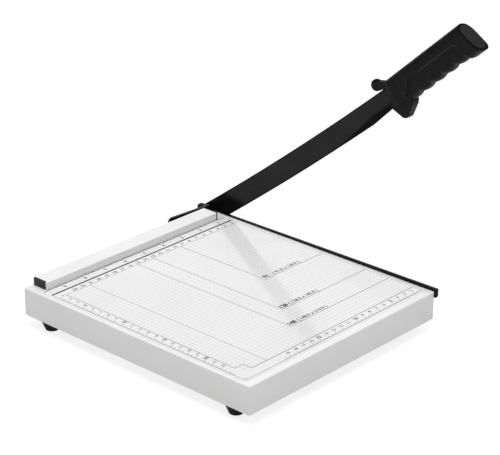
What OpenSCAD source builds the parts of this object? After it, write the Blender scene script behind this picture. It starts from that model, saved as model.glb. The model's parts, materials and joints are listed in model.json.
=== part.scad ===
// Desk paper cutter: a folded steel base with a printed scale sheet and a fence, a fixed blade along the
// right edge, and a long knife that turns on a sprung bolt behind the rear right corner.
// X runs to the right, Y to the rear and Z up. The origin is on the desk under the middle of the base.

/* [Base] */
// Width of the base, left to right
base_w = 250; // [220:1:400]
// Depth of the base, front to rear
base_d = 280.8; // [240:0.1:450]
// Height of the base's folded walls
base_h = 27.6; // [25:0.1:40]
// Thickness of the base's sheet steel
sheet_t = 1; // [0.8:0.1:1.4]
// Radius of the base's upright corners
corner_r = 1.5; // [1.2:0.1:5]
// Width of the flanges turned in under the side walls
side_flange_w = 25; // [25:1:45]
// Width of the flanges turned in under the front and rear walls
end_flange_w = 12; // [8:1:16]

/* [Inside the base] */
// Width of the hat channel under the table
stiffener_w = 24; // [16:1:40]
// Depth of the hat channel
stiffener_h = 12; // [6:1:14]
// Width of each of the channel's lips
stiffener_lip = 9; // [6:1:15]
// Distance from the base's front and rear faces to the channel's ends
stiffener_inset = 30; // [20:1:60]
// Thickness of the bar behind the right wall
backing_t = 3; // [2:0.5:6]
// Height of the bar behind the right wall
backing_h = 10; // [8:1:16]
// Distance from the base's front and rear faces to the bar's ends
backing_inset = 12; // [8:1:18]

/* [Feet] */
// Height of a foot
foot_h = 11.4; // [9:0.1:16]
// Diameter of a foot where it meets the flange
foot_top_d = 22; // [20:0.5:23]
// Diameter of a foot on the desk
foot_bottom_d = 12.6; // [12:0.1:18]
// Distance from the base's sides to a foot's centre
foot_side = 13.3; // [12:0.1:13.5]
// Distance from the front face to a front foot's centre
foot_front = 27.2; // [20:0.1:50]
// Distance from the rear face to a rear foot's centre
foot_rear = 22; // [18:0.1:50]
// Diameter of the recess under a foot
foot_recess_d = 8.4; // [8:0.1:9]
// Depth of the recess under a foot
foot_recess_h = 5.5; // [5:0.1:7]

/* [Scale sheet] */
// Thickness of the printed sheet
scale_t = 0.25; // [0.2:0.05:1]
// Bare rim of the table at the left and right of the sheet
scale_side = 3.2; // [1:0.1:20]
// Bare rim of the table in front of the sheet
scale_front = 7.5; // [1:0.1:20]
// Radius of the sheet's corners
scale_r = 5; // [1:0.5:15]

/* [Fence] */
// Depth of the fence, front to rear
fence_d = 18.2; // [14:0.1:30]
// Height of the fence
fence_h = 8; // [7.5:0.1:14]
// Wall of the fence's tube
fence_wall = 1.5; // [1.2:0.1:1.6]
// Radius of the fence's long edges
fence_r = 0.8; // [0.3:0.1:1.2]
// Distance from the base's left side to the fence
fence_left = 10.2; // [2:0.1:20]
// Distance from the base's right side to the fence
fence_right = 14.1; // [6:0.1:20]
// Distance from the base's rear face to the fence
fence_rear = 2.4; // [0.3:0.1:3]
// Thickness of an end cap's flange
cap_t = 1.6; // [0.8:0.1:3]
// Depth of an end cap's plug inside the tube
cap_plug = 6; // [3:0.5:12]
// Thickness of the rail's front wall ahead of the left cap's flange
cap_front = 1.8; // [1:0.1:4]
// Distance from the fence's middle to its outer screws
fence_screw_x = 85; // [50:1:100]

/* [Fixed blade] */
// Thickness of the fixed blade
fixed_t = 2.3; // [2:0.1:5]
// Height of the fixed blade at the rear
fixed_h = 7.3; // [6:0.1:8]
// Height of its cutting edge above the table at the rear
fixed_rise = 1.3; // [1:0.1:2]
// Extra height of its cutting edge at the front
fixed_front_lift = 1.8; // [0.1:0.1:2]
// Length of it that stands out in front of the base
fixed_front = 2.5; // [0:0.1:3]
// Radius of its lower front corner
fixed_r = 2; // [1:0.1:3]
// Distance from its lower edge to its screws
fixed_screw_z = 2.4; // [2.4:0.1:2.6]
// Distance from the base's front and rear faces to the outer screws
fixed_screw_end = 20; // [16:1:40]

/* [Hinge bracket] */
// Thickness of the bracket's steel
bracket_t = 2.5; // [2:0.1:4]
// Length of the bracket's plate along the rear wall
bracket_w = 61; // [50:1:90]
// Height of the plate above the table, at its left end
bracket_rise = 9.1; // [6:0.1:12]
// Fall of the plate's upper edge towards the ear
bracket_fall = 2; // [0:0.1:3]
// Gap from the base's lower edge to the plate
bracket_foot = 2; // [1:0.5:3]
// Radius of the plate's left corners
bracket_r = 5.5; // [4:0.5:12]
// Radius of the plate's corner above the ear
bracket_step_r = 5; // [2:0.5:8]
// Height of the ear above the table
ear_rise = 4.3; // [1:0.1:5]
// Length of the ear behind the pivot
ear_rear = 9.6; // [8:0.1:14]
// Radius of the ear's upper rear corner
ear_top_r = 5; // [2:0.5:7]
// Length of the ear below the pivot
ear_below = 12.5; // [9:0.5:14]
// Distance from the base's lower edge to the plate's screws
bracket_screw_z = 7.6; // [6:0.1:9]
// Distance between the plate's screws
bracket_screw_step = 17; // [14:0.5:20]

/* [Pivot] */
// Diameter of the pivot bolt
pivot_d = 6; // [5:0.5:7]
// Distance of the pivot below the table
pivot_drop = 9.1; // [7:0.1:11]
// Radial clearance of the arm on the bolt
pivot_fit = 0.05; // [0.02:0.01:0.1]
// Side clearance of the arm between spacer and washer
side_fit = 0.25; // [0.1:0.05:0.5]
// Diameter of the washers and the spacer
washer_d = 12; // [11:0.5:14]
// Thickness of a washer
washer_t = 1.5; // [1:0.1:2.5]
// Clearance between the washers and the bracket's plate
washer_gap = 0.4; // [0.3:0.1:2]
// Length of the fitted spring
spring_len = 14; // [10:0.5:18]
// Diameter of the spring's wire
spring_wire = 1.2; // [0.8:0.1:1.4]
// Mean radius of the spring's coils
spring_r = 4.6; // [4.4:0.1:4.8]
// Number of coils
spring_coils = 5; // [3:1:6]
// Length of bolt beyond the nut
bolt_spare = 2.4; // [1:0.1:5]

/* [Knife] */
// Angle of the arm above level
arm_open = 38; // [0:1:75]
// Thickness of the knife
blade_t = 2; // [1.5:0.1:3]
// Width of the knife
blade_w = 21.7; // [18:0.1:26]
// Gap between the knife and the fixed blade
shear_gap = 0.15; // [0.1:0.05:0.3]
// Radius of the knife's long curve
curve_r = 4150; // [2000:10:8000]
// Distance from the pivot to the curve's lowest point
curve_low_u = 146; // [120:1:170]
// Drop of the knife's middle line at that point below the pivot
curve_drop = 1.6; // [0:0.1:4]
// Radius of the tail round the pivot
tail_r = 11.5; // [9:0.5:13]
// Distance from the pivot to the start of the ground edge
edge_start = 25; // [15:1:40]
// Width of the ground bevel
bevel_w = 2.6; // [1:0.1:5]
// Thickness left at the cutting edge
edge_t = 0.5; // [0.3:0.1:1]
// Distance from the pivot to the foot of the heel
heel_u = 259; // [240:1:270]
// Angle of the heel
heel_angle = 6.9; // [0:0.1:12]
// Width of the tang
tang_w = 14; // [10:0.5:16]
// Distance from the handle's reference point forward to the tang's root
tang_root = 16; // [14:0.5:20]
// Distance from the handle's end to the tang's end
tang_short = 14; // [12:0.5:25]
// Distance from the tang's end to the nearest screw
tang_screw_end = 8; // [6:0.5:12]

/* [Handle] */
// Distance from the pivot to the handle's reference point
handle_u = 301; // [295:1:400]
// Height of the reference point above the arm's line
handle_w = 3.1; // [1:0.1:5]
// Tilt of the handle against the arm
handle_tilt = 3.75; // [0:0.05:6]
// Thickness of the handle
handle_t = 19; // [16:0.5:24]
// Plastic left of the handle's screws on the left side
handle_skin = 5; // [4:0.5:7]
// Radius of the grip's long edges
handle_r = 8; // [4:0.5:9]
// Distance from the reference point forward to the handle's front
handle_front = 4; // [3:0.5:6]
// Height of the grip's top above its axis
grip_top = 14.5; // [13.5:0.1:17]
// Depth of the finger bumps below the axis
grip_crest = 14.8; // [14:0.1:17]
// Depth of the valleys between the bumps
grip_valley = 12.8; // [12:0.1:13.5]
// Depth of the butt below the axis
grip_butt = 17; // [15:0.1:19]
// Number of finger bumps
bump_count = 5; // [4:1:7]
// Distance between the bumps
bump_pitch = 16.4; // [14:0.1:20]
// Distance from the reference point to the first bump
bump_first = 18.5; // [16:0.1:22]
// Length of the butt behind the last bump
butt_len = 12.5; // [10:0.1:16]
// Angle of the end face
end_angle = 15.6; // [0:0.1:20]
// Length of the end cap's oval
end_cap_len = 27.5; // [20:0.5:28]
// Width of the end cap's oval
end_cap_w = 16; // [8:0.5:16.5]
// Thickness of the end cap
end_cap_t = 2.1; // [1.8:0.1:3]
// Depth of the end cap's seat
end_cap_seat = 1.5; // [1:0.1:2]
// Radius of the guard's tip
guard_r = 5.8; // [4:0.1:7]
// Distance from the reference point back to the guard's tip
guard_back = -1.3; // [-2:0.1:3]
// Depth of the guard's tip below the handle's axis
guard_deep = 25; // [22:0.5:27]
// Distance from the guard's tip forward to its root's front
guard_lead = 10; // [8:0.5:12]
// Height of the root's front above the valleys between the bumps
guard_lift = 3; // [2:0.5:5]
// Distance from the reference point back to the guard's rear
guard_rear = 14.5; // [12:0.5:15]
// Depth of the guard's rear corner below the valleys between the bumps
guard_drop = 5.6; // [4:0.1:7]
// Thickness of the guard
guard_t = 12; // [10:0.5:16]
// Radius of the horn
horn_r = 5.7; // [4:0.1:6]
// Thickness of the horn
horn_t = 7; // [5:0.5:12]
// Height of the horn's centre above the handle's axis
horn_up = 16.4; // [15.5:0.1:18]
// Length of the horn's centre in front of the reference point
horn_reach = 16; // [12:0.1:17]

/* [Fasteners] */
// Diameter of the base's machine screws
screw_d = 4; // [3.5:0.1:4]
// Diameter of their heads
screw_head_d = 7; // [6.5:0.1:7.2]
// Height of their heads
screw_head_h = 2.4; // [1.5:0.1:2.6]
// Width of their nuts across the flats
nut_af = 7; // [6:0.1:7.2]
// Height of their nuts
nut_h = 3.2; // [2:0.1:3.4]
// Diameter of the fixed blade's screws
small_d = 2.5; // [2:0.1:2.6]
// Diameter of their countersunk heads
small_head_d = 4.4; // [4:0.1:4.5]
// Radial clearance of a screw in a plain hole
hole_gap = 0.2; // [0.1:0.05:0.3]
// Radial clearance of a screw in its nut
thread_gap = 0.05; // [0.02:0.01:0.1]
// Clearance of plugs and tang in their seats
seat_gap = 0.1; // [0.05:0.05:0.2]
// Width of the slots in the screw heads
slot_w = 0.9; // [0.5:0.1:1.2]

/* [Hidden] */
$fn = 48;
long_curve_fn = 1440;
part_gap = 0.3;
over = 1;
table_z = foot_h + base_h;
under_z = table_z - sheet_t;
floor_z = foot_h + sheet_t;
right_x = base_w / 2;
rear_y = base_d / 2;
foot_x = right_x - foot_side;
foot_y = [foot_front - rear_y, rear_y - foot_rear];

fence_len = base_w - fence_left - fence_right;
fence_x0 = fence_left - right_x;
fence_mid_x = fence_x0 + fence_len / 2;
fence_y1 = rear_y - fence_rear;
fence_y0 = fence_y1 - fence_d;
fence_mid_y = (fence_y0 + fence_y1) / 2;
fence_screws_x = [for (i = [-1, 0, 1]) fence_mid_x + i * fence_screw_x];
fence_screw_len = sheet_t + fence_wall + nut_h + 0.6;

cut_x = right_x + fixed_t;
fixed_z0 = table_z + fixed_rise - fixed_h;
fixed_holes_z = fixed_z0 + fixed_screw_z;
fixed_screw_count = 4;
fixed_span = base_d - 2 * fixed_screw_end;
fixed_holes_y = [for (i = [0:fixed_screw_count - 1])
    fixed_screw_end - rear_y + i * fixed_span / (fixed_screw_count - 1)];
small_head_h = (small_head_d - small_d) / 2;

bracket_x0 = right_x - bracket_w;
bracket_z0 = foot_h + bracket_foot;
bracket_z1 = table_z + bracket_rise;
bracket_z2 = bracket_z1 - bracket_fall;
bracket_holes_z = foot_h + bracket_screw_z;
bracket_holes_x = [for (i = [0, 1, 2]) bracket_x0 + bracket_r + i * bracket_screw_step];
bracket_screw_len = bracket_t + sheet_t + nut_h + 1;

pivot_y = rear_y + bracket_t + washer_d / 2 + washer_gap;
pivot_z = table_z - pivot_drop;
blade_left = cut_x + shear_gap;
blade_mid = blade_left + blade_t / 2;
blade_right = blade_left + blade_t;
ear_left = right_x - bracket_t;
spring_x1 = ear_left - washer_t;
spring_x0 = spring_x1 - spring_len;
pivot_nut_h = 0.9 * pivot_d;
pivot_nut_af = 10;
pivot_head_h = 0.7 * pivot_d;
pivot_nut_x = spring_x0 - washer_t - pivot_nut_h;
bolt_head_x = blade_right + side_fit + washer_t;

centre_w = curve_r - curve_drop;
outer_r = curve_r + blade_w / 2;
inner_r = curve_r - blade_w / 2;
grip_last = bump_first + bump_pitch * (bump_count - 0.5);
grip_end = grip_last + butt_len;
tang_end = grip_end - tang_short;
handle_screws_p = [for (i = [0, 1, 2]) bump_first + i * (tang_end - tang_screw_end - bump_first) / 2];
handle_screw_len = handle_t - handle_skin;
bump_half = bump_pitch / 2;
bump_rise = grip_crest - grip_valley;
bump_r = (bump_half * bump_half + bump_rise * bump_rise) / (2 * bump_rise);
grip_mid = (grip_top - grip_butt) / 2;
white_paint = "#f2f2f2";
black_paint = "#1c1c1e";
zinc = "#b9bcc0";
black_plastic = "#1f1f21";

// Shapes used more than once

// Rectangle with round corners, centred on the origin
module round_rect(w, d, r) {
    square([w - 2 * r, d], center = true);
    square([w, d - 2 * r], center = true);
    for (x = [-1, 1], y = [-1, 1]) {
        translate([x * (w / 2 - r), y * (d / 2 - r)]) circle(r);
    }
}

// Plate drawn in Y and Z, as thick as t along X from x0
module plate_yz(x0, t) {
    translate([x0, 0, 0]) rotate([90, 0, 90]) linear_extrude(t) children();
}

// Plate drawn in X and Z, as thick as t along Y from y0
module plate_xz(y0, t) {
    translate([0, y0 + t, 0]) rotate([90, 0, 0]) linear_extrude(t) children();
}

// Pan head screw with its shank along +Z and its head below the origin
module pan_screw(d, head_d, head_h, len) {
    difference() {
        union() {
            translate([0, 0, -head_h]) cylinder(h = head_h, d = head_d);
            cylinder(h = len, d = d);
        }
        for (turn = [0, 90]) {
            translate([0, 0, -head_h]) rotate([0, 0, turn])
                cube([head_d * 0.6, slot_w, head_h], center = true);
        }
    }
}

// Countersunk screw with its shank along +Z and its head's face at the origin
module sunk_screw(d, head_d, len) {
    difference() {
        union() {
            cylinder(h = (head_d - d) / 2, d1 = head_d, d2 = d);
            cylinder(h = len, d = d);
        }
        for (turn = [0, 90]) {
            rotate([0, 0, turn]) cube([head_d * 0.6, slot_w, d * 0.6], center = true);
        }
    }
}

// Hole for a countersunk screw, wider by gap all round
module sunk_hole(d, head_d, len, gap) {
    sink = (head_d - d) / 2;
    translate([0, 0, -over]) cylinder(h = over + gap, d = head_d + 2 * gap);
    translate([0, 0, gap]) cylinder(h = sink, d1 = head_d + 2 * gap, d2 = d + 2 * gap);
    cylinder(h = len, d = d + 2 * gap);
}

// Hexagon nut from the origin along +Z
module hex_nut(d, af, h) {
    difference() {
        cylinder(h = h, d = af / cos(30), $fn = 6);
        translate([0, 0, -over]) cylinder(h = h + 2 * over, d = d + 2 * thread_gap);
    }
}

// Places for the four feet, on the desk
module at_feet() {
    for (x = [-foot_x, foot_x], y = foot_y) {
        translate([x, y, 0]) children();
    }
}

// Places for the fence's screws, on the table's underside
module at_fence_screws() {
    for (x = fence_screws_x) {
        translate([x, fence_mid_y, under_z]) children();
    }
}

// Places for the fixed blade's screws, on its outer face, with +Z into the base
module at_fixed_screws() {
    for (y = fixed_holes_y) {
        translate([cut_x, y, fixed_holes_z]) rotate([0, -90, 0]) children();
    }
}

// Places for the bracket's screws, on its rear face, with +Z into the base
module at_bracket_screws() {
    for (x = bracket_holes_x) {
        translate([x, rear_y + bracket_t, bracket_holes_z]) rotate([90, 0, 0]) children();
    }
}

// The pivot's axis at x, with +Z along X
module at_pivot(x) {
    translate([x, pivot_y, pivot_z]) rotate([0, 90, 0]) children();
}

// Base

// The folded base with its holes
module base_tray() {
    inner_h = base_h - 2 * sheet_t;
    color(white_paint) difference() {
        translate([0, 0, foot_h]) linear_extrude(base_h) round_rect(base_w, base_d, corner_r);
        translate([0, 0, floor_z]) linear_extrude(inner_h)
            round_rect(base_w - 2 * sheet_t, base_d - 2 * sheet_t, corner_r - sheet_t);
        translate([0, 0, foot_h - over]) linear_extrude(sheet_t + 2 * over)
            round_rect(base_w - 2 * side_flange_w, base_d - 2 * end_flange_w, corner_r);
        at_feet() translate([0, 0, foot_h - over])
            cylinder(h = sheet_t + 2 * over, d = screw_d + 2 * hole_gap);
        at_fence_screws() translate([0, 0, -over])
            cylinder(h = sheet_t + 2 * over, d = screw_d + 2 * hole_gap);
        at_fixed_screws() translate([0, 0, fixed_t - over])
            cylinder(h = sheet_t + 2 * over, d = small_d + 2 * hole_gap);
        at_bracket_screws() translate([0, 0, bracket_t - over])
            cylinder(h = sheet_t + 2 * over, d = screw_d + 2 * hole_gap);
    }
}

// Hat channel spot welded under the table
module table_stiffener() {
    len = base_d - 2 * stiffener_inset;
    full_w = stiffener_w + 2 * stiffener_lip;
    color(zinc) plate_xz(stiffener_inset - rear_y, len) translate([0, under_z - stiffener_h]) {
        difference() {
            translate([-stiffener_w / 2, 0]) square([stiffener_w, stiffener_h]);
            translate([-stiffener_w / 2 + sheet_t, sheet_t])
                square([stiffener_w - 2 * sheet_t, stiffener_h]);
        }
        difference() {
            translate([-full_w / 2, stiffener_h - sheet_t]) square([full_w, sheet_t]);
            translate([-stiffener_w / 2 + sheet_t, 0])
                square([stiffener_w - 2 * sheet_t, stiffener_h + over]);
        }
    }
}

// Bar behind the right wall, tapped for the fixed blade's screws
module backing_bar() {
    bar_x = right_x - sheet_t - backing_t;
    bar_y = backing_inset - rear_y;
    color(zinc) difference() {
        translate([bar_x, bar_y, under_z - backing_h])
            cube([backing_t, base_d - 2 * backing_inset, backing_h]);
        at_fixed_screws() translate([0, 0, fixed_t])
            cylinder(h = sheet_t + backing_t + over, d = small_d + 2 * thread_gap);
    }
}

// Printed sheet on the table, in front of the fence
module scale_sheet() {
    w = base_w - 2 * scale_side;
    y0 = scale_front - rear_y;
    d = fence_y0 - part_gap - y0;
    color("white") translate([0, y0 + d / 2, table_z]) linear_extrude(scale_t) round_rect(w, d, scale_r);
}

// Outline of the fence's tube in Y and Z
module fence_outline() {
    translate([fence_mid_y, table_z + fence_h / 2]) round_rect(fence_d, fence_h, fence_r);
}

// Hollow of the fence's tube in Y and Z, smaller by gap all round
module fence_hollow(gap) {
    translate([fence_mid_y, table_z + fence_h / 2])
        square([fence_d - 2 * fence_wall - 2 * gap, fence_h - 2 * fence_wall - 2 * gap], center = true);
}

// Space behind the left end's front wall, larger than the tube by margin
module behind_front_wall(margin) {
    translate([fence_y0 + cap_front, table_z - margin])
        square([fence_d - cap_front + margin, fence_h + 2 * margin]);
}

// Hollow fence along the rear edge, with room for the caps' flanges at its ends
module fence_rail() {
    color(white_paint) difference() {
        plate_yz(fence_x0, fence_len - cap_t) fence_outline();
        plate_yz(fence_x0 - over, fence_len + 2 * over) fence_hollow(0);
        plate_yz(fence_x0 - over, cap_t + over) behind_front_wall(over);
        at_fence_screws() cylinder(h = sheet_t + fence_wall + over, d = screw_d + 2 * hole_gap);
    }
}

// Plug of an end cap, from x into the tube
module cap_plug_at(x) {
    plate_yz(x, cap_plug) fence_hollow(seat_gap);
}

module fence_cap_left() {
    color(black_plastic) {
        plate_yz(fence_x0, cap_t) intersection() {
            fence_outline();
            behind_front_wall(0);
        }
        cap_plug_at(fence_x0 + cap_t);
    }
}

module fence_cap_right() {
    flange_x = fence_x0 + fence_len - cap_t;
    color(black_plastic) {
        plate_yz(flange_x, cap_t) fence_outline();
        cap_plug_at(flange_x - cap_plug);
    }
}

module fence_screws() {
    color(zinc) at_fence_screws() pan_screw(screw_d, screw_head_d, screw_head_h, fence_screw_len);
}

module fence_nuts() {
    color(zinc) at_fence_screws() translate([0, 0, sheet_t + fence_wall]) hex_nut(screw_d, nut_af, nut_h);
}

// Fixed blade with a round lower front corner and an edge that rises to the front
module fixed_blade() {
    y0 = -rear_y - fixed_front;
    fixed_z1 = fixed_z0 + fixed_h;
    color(black_paint) difference() {
        plate_yz(right_x, fixed_t) {
            polygon([
                [y0 + fixed_r, fixed_z0], [rear_y, fixed_z0], [rear_y, fixed_z1],
                [y0, fixed_z1 + fixed_front_lift], [y0, fixed_z0 + fixed_r]
            ]);
            translate([y0 + fixed_r, fixed_z0 + fixed_r]) circle(fixed_r);
        }
        at_fixed_screws() sunk_hole(small_d, small_head_d, fixed_t + over, seat_gap);
    }
}

module fixed_blade_screws() {
    color(black_paint) at_fixed_screws()
        sunk_screw(small_d, small_head_d, fixed_t + sheet_t + backing_t + over);
}

// Bracket: a plate on the rear wall and an ear that carries the pivot
module hinge_bracket() {
    ear_z0 = pivot_z - ear_below;
    ear_z1 = table_z + ear_rise;
    ear_y1 = pivot_y + ear_rear;
    ear_low_r = 8;
    color(black_paint) difference() {
        union() {
            plate_xz(rear_y, bracket_t) {
                polygon([
                    [bracket_x0 + bracket_r, bracket_z0], [right_x, bracket_z0],
                    [right_x, bracket_z2 - bracket_step_r], [right_x - bracket_step_r, bracket_z2],
                    [bracket_x0 + bracket_r, bracket_z1], [bracket_x0, bracket_z1 - bracket_r],
                    [bracket_x0, bracket_z0 + bracket_r]
                ]);
                for (z = [bracket_z0 + bracket_r, bracket_z1 - bracket_r]) {
                    translate([bracket_x0 + bracket_r, z]) circle(bracket_r);
                }
                translate([right_x - bracket_step_r, bracket_z2 - bracket_step_r]) circle(bracket_step_r);
            }
            plate_yz(ear_left, bracket_t) {
                translate([rear_y, ear_z0]) square([ear_y1 - rear_y - ear_low_r, ear_z1 - ear_z0]);
                translate([rear_y, ear_z0 + ear_low_r])
                    square([ear_y1 - rear_y, ear_z1 - ear_z0 - ear_low_r - ear_top_r]);
                translate([ear_y1 - ear_low_r, ear_z0 + ear_low_r]) circle(ear_low_r);
                translate([ear_y1 - ear_low_r - over, ear_z1 - ear_top_r - over])
                    square([ear_low_r + over - ear_top_r, ear_top_r + over]);
                translate([ear_y1 - ear_top_r, ear_z1 - ear_top_r]) circle(ear_top_r);
            }
        }
        at_bracket_screws() translate([0, 0, -over])
            cylinder(h = bracket_t + 2 * over, d = screw_d + 2 * hole_gap);
        at_pivot(ear_left - over) cylinder(h = bracket_t + 2 * over, d = pivot_d + 2 * pivot_fit);
    }
}

module bracket_screws() {
    color(zinc) at_bracket_screws() pan_screw(screw_d, screw_head_d, screw_head_h, bracket_screw_len);
}

module bracket_nuts() {
    color(zinc) at_bracket_screws() translate([0, 0, bracket_t + sheet_t]) hex_nut(screw_d, nut_af, nut_h);
}

// Pivot

module pivot_bolt() {
    bolt_x0 = pivot_nut_x - bolt_spare;
    color(zinc) {
        at_pivot(bolt_x0) cylinder(h = bolt_head_x - bolt_x0, d = pivot_d);
        at_pivot(bolt_head_x) cylinder(h = pivot_head_h, d = pivot_nut_af / cos(30), $fn = 6);
    }
}

module pivot_ring(x, len) {
    at_pivot(x) difference() {
        cylinder(h = len, d = washer_d);
        translate([0, 0, -over]) cylinder(h = len + 2 * over, d = pivot_d + 2 * pivot_fit);
    }
}

module pivot_spacer() {
    color(zinc) pivot_ring(right_x, blade_left - side_fit - right_x);
}

module pivot_washers() {
    color(zinc) {
        pivot_ring(blade_right + side_fit, washer_t);
        pivot_ring(ear_left - washer_t, washer_t);
        pivot_ring(spring_x0 - washer_t, washer_t);
    }
}

module pivot_nut() {
    color(zinc) at_pivot(pivot_nut_x) hex_nut(pivot_d, pivot_nut_af, pivot_nut_h);
}

// The spring's wire is one tube along a helix, with a straight end at each washer
curl_rings = 8;
wire_sides = 6;
helix_len = spring_len - 2 * spring_wire;
helix_steps = curl_rings * spring_coils;

function helix_point(i) = [
    spring_wire + helix_len * i / helix_steps,
    spring_r * cos(360 * i / curl_rings),
    spring_r * sin(360 * i / curl_rings)
];
function spring_angle(i) = 360 * min(max(i - 1, 0), helix_steps) / curl_rings;
spring_path = [
    [0, spring_r, 0],
    each [for (i = [0:helix_steps]) helix_point(i)],
    helix_point(helix_steps) + [spring_wire, 0, 0]
];
spring_last = len(spring_path) - 1;

function unit(v) = v / norm(v);
function spring_along(i) = unit(spring_path[min(i + 1, spring_last)] - spring_path[max(i - 1, 0)]);
function spring_ring(i) =
    let (out = [0, cos(spring_angle(i)), sin(spring_angle(i))])
    let (side = unit(cross(spring_along(i), out)))
    let (flat = cross(side, spring_along(i)))
    [for (k = [0:wire_sides - 1])
        spring_path[i] + spring_wire / 2 * (cos(360 * k / wire_sides) * flat
        + sin(360 * k / wire_sides) * side)];

spring_points = [for (i = [0:spring_last]) each spring_ring(i)];
spring_faces = [
    for (k = [1:wire_sides - 2]) [0, k, k + 1],
    for (i = [0:spring_last - 1], k = [0:wire_sides - 1])
        each let (a = i * wire_sides + k, b = i * wire_sides + (k + 1) % wire_sides)
        [[a, a + wire_sides, b], [b, a + wire_sides, b + wire_sides]],
    for (k = [1:wire_sides - 2])
        [spring_last * wire_sides, spring_last * wire_sides + k + 1, spring_last * wire_sides + k]
];
spring_gap = min([for (i = [0:spring_last], j = [0:spring_last])
    if (j - i >= curl_rings / 2) norm(spring_path[i] - spring_path[j])]) - spring_wire;

module pivot_spring() {
    echo(spring_gap = spring_gap);
    color(zinc) translate([spring_x0, pivot_y, pivot_z]) polyhedron(spring_points, spring_faces);
}

// Feet

module foot() {
    color("#151515") difference() {
        cylinder(h = foot_h, d1 = foot_bottom_d, d2 = foot_top_d);
        translate([0, 0, -over]) cylinder(h = foot_recess_h + over, d = foot_recess_d);
        cylinder(h = foot_h + over, d = screw_d + 2 * hole_gap);
    }
}

module foot_front_left() {
    translate([-foot_x, foot_y[0], 0]) foot();
}

module foot_front_right() {
    translate([foot_x, foot_y[0], 0]) foot();
}

module foot_rear_left() {
    translate([-foot_x, foot_y[1], 0]) foot();
}

module foot_rear_right() {
    translate([foot_x, foot_y[1], 0]) foot();
}

foot_washer_t = 0.8;

module foot_washers() {
    color(zinc) at_feet() translate([0, 0, foot_recess_h - foot_washer_t]) difference() {
        cylinder(h = foot_washer_t, d = foot_recess_d - 2 * seat_gap);
        translate([0, 0, -over]) cylinder(h = foot_washer_t + 2 * over, d = screw_d + 2 * hole_gap);
    }
}

module foot_screws() {
    head_z = foot_recess_h - foot_washer_t;
    color(zinc) at_feet() translate([0, 0, head_z])
        pan_screw(screw_d, screw_head_d, screw_head_h, floor_z + nut_h + over - head_z);
}

module foot_nuts() {
    color(zinc) at_feet() translate([0, 0, floor_z]) hex_nut(screw_d, nut_af, nut_h);
}

// Arm

// Drawing plane of the arm: x runs from the pivot to the handle, y up, and z to the left from the face at x
module on_arm(x) {
    translate([x, pivot_y, pivot_z]) rotate([-arm_open, 0, 0]) rotate([90, 0, -90]) children();
}

// Drawing plane of the handle within the arm's
module on_handle() {
    translate([handle_u, handle_w, 0]) rotate([0, 0, handle_tilt]) children();
}

// Height of the knife's lower edge at u along the arm
function lower_edge(u) = centre_w - sqrt(outer_r * outer_r - pow(u - curve_low_u, 2));

// Curved stretch of the knife between two distances from the pivot, ground at its lower edge or square
module knife_band(u0, u1, ground) {
    bevel_t = ground ? blade_t - edge_t : 0;
    intersection() {
        translate([u0, -blade_w * 2, 0]) cube([u1 - u0, blade_w * 4, blade_t]);
        translate([curve_low_u, centre_w, 0]) difference() {
            union() {
                translate([0, 0, bevel_t]) cylinder(h = blade_t - bevel_t, r = outer_r, $fn = long_curve_fn);
                if (ground) {
                    cylinder(h = bevel_t, r1 = outer_r - bevel_w, r2 = outer_r, $fn = long_curve_fn);
                }
            }
            translate([0, 0, -over]) cylinder(h = blade_t + 2 * over, r = inner_r, $fn = long_curve_fn);
        }
    }
}

module blade_arm() {
    band_end = handle_u - 2;
    heel_drop = 20;
    color(black_paint) on_arm(blade_right) difference() {
        union() {
            cylinder(h = blade_t, r = tail_r);
            knife_band(0, edge_start, false);
            knife_band(edge_start, band_end, true);
            on_handle() translate([-tang_root, -tang_w / 2, 0]) cube([tang_end + tang_root, tang_w, blade_t]);
        }
        translate([heel_u, lower_edge(heel_u), -over]) rotate([0, 0, heel_angle])
            translate([0, -heel_drop, 0]) cube([handle_u - heel_u, heel_drop, blade_t + 2 * over]);
        translate([0, 0, -over]) cylinder(h = blade_t + 2 * over, d = pivot_d + 2 * pivot_fit);
        on_handle() for (p = handle_screws_p) {
            translate([p, 0, -over]) cylinder(h = blade_t + 2 * over, d = screw_d + 2 * hole_gap);
        }
    }
}

// Side view of the grip with its finger bumps
module grip_side() {
    translate([-handle_front, -grip_valley])
        square([grip_end + 2 * handle_front, grip_valley + grip_top]);
    for (i = [0:bump_count - 1]) {
        translate([bump_first + i * bump_pitch, bump_r - grip_crest]) circle(bump_r);
    }
    polygon([
        [grip_last, 0], [grip_last, -grip_valley], [grip_last + bump_rise + over, -grip_butt],
        [grip_end + 2 * handle_front, -grip_butt], [grip_end + 2 * handle_front, 0]
    ]);
}

// Side view of the guard below the handle's front
module guard_side() {
    tip = [guard_back, guard_r - guard_deep];
    polygon([
        [guard_back - guard_lead, guard_lift - grip_valley], [-handle_front, 0], [guard_rear, 0],
        [guard_rear, -grip_valley - guard_drop / 2], [guard_rear - guard_drop / 2, -grip_valley - guard_drop],
        [tip[0] + guard_r * 0.7, tip[1] - guard_r * 0.7], [tip[0], tip[1] - guard_r / 2],
        [tip[0] - guard_r, tip[1]]
    ]);
    translate(tip) circle(guard_r);
}

// Side view of the horn above the handle's front
module horn_side() {
    translate([-horn_reach, horn_up]) circle(horn_r);
    polygon([
        [-horn_reach, horn_up + horn_r], [0, grip_top - over], [0, horn_up - 1.4 * horn_r],
        [-handle_front, horn_up - horn_r], [-horn_reach, horn_up - horn_r]
    ]);
}

// Slanted plane of the handle's end face, with +X out of the handle
module at_end_face() {
    translate([grip_end, grip_mid, handle_t / 2]) rotate([0, 0, end_angle]) children();
}

// Oval drawn across the end face, extruded by len along +X
module end_oval(w, d, len) {
    rotate([90, 0, 90]) linear_extrude(len) round_rect(w, d, d / 2 - 0.01);
}

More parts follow.
